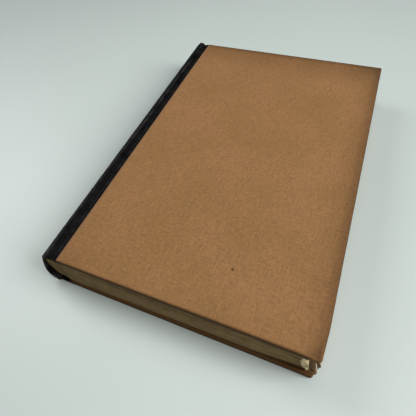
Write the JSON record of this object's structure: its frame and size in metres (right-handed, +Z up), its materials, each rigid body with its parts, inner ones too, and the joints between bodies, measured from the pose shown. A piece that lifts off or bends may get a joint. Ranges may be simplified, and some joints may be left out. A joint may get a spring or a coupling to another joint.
{
  "type": "hardback book",
  "caption": "Closed quarter-cloth hardback book with a rounded spine, lying flat, whose covers open on their cloth joints.",
  "frame": {"origin": "middle of the book's footprint, on the surface that it lies on", "axes": "+X from the spine to the fore-edge, +Y from the tail to the head, +Z up through the front cover"},
  "size_m": [0.146, 0.2172, 0.0256],
  "materials": {
    "leaves": "matte, aged and dusty at the edges",
    "endpaper": "matte",
    "mull": "open starched weave",
    "lining": "matte",
    "grey_board": "matte",
    "black_cloth": "filled weave with a slight sheen, rubbed at the shoulder",
    "tan_cloth": "fine plain weave, matte and unevenly toned"
  },
  "bodies": {
    "block": {"text_block": "leaves", "front_flyleaf": "endpaper", "back_flyleaf": "endpaper", "mull": "mull", "spine_lining": "lining", "spine_card": "grey_board", "spine_cloth": "black_cloth"},
    "front_cover": {"front_board": "grey_board", "front_side_cloth": "tan_cloth", "front_joint_cloth": "black_cloth", "front_mull_wing": "mull", "front_pastedown": "endpaper"},
    "back_cover": {"back_board": "grey_board", "back_side_cloth": "tan_cloth", "back_joint_cloth": "black_cloth", "back_mull_wing": "mull", "back_pastedown": "endpaper"}
  },
  "joints": [
    {"name": "front_cover_joint", "type": "hinge", "parent": "block", "child": "front_cover", "pos_m": [-0.0641, 0, 0.0247], "axis": [0, -1, 0], "range_deg": [0, 180]},
    {"name": "back_cover_joint", "type": "hinge", "parent": "block", "child": "back_cover", "pos_m": [-0.0641, 0, 0.0009], "axis": [0, 1, 0], "range_deg": [0, 180]}
  ]
}
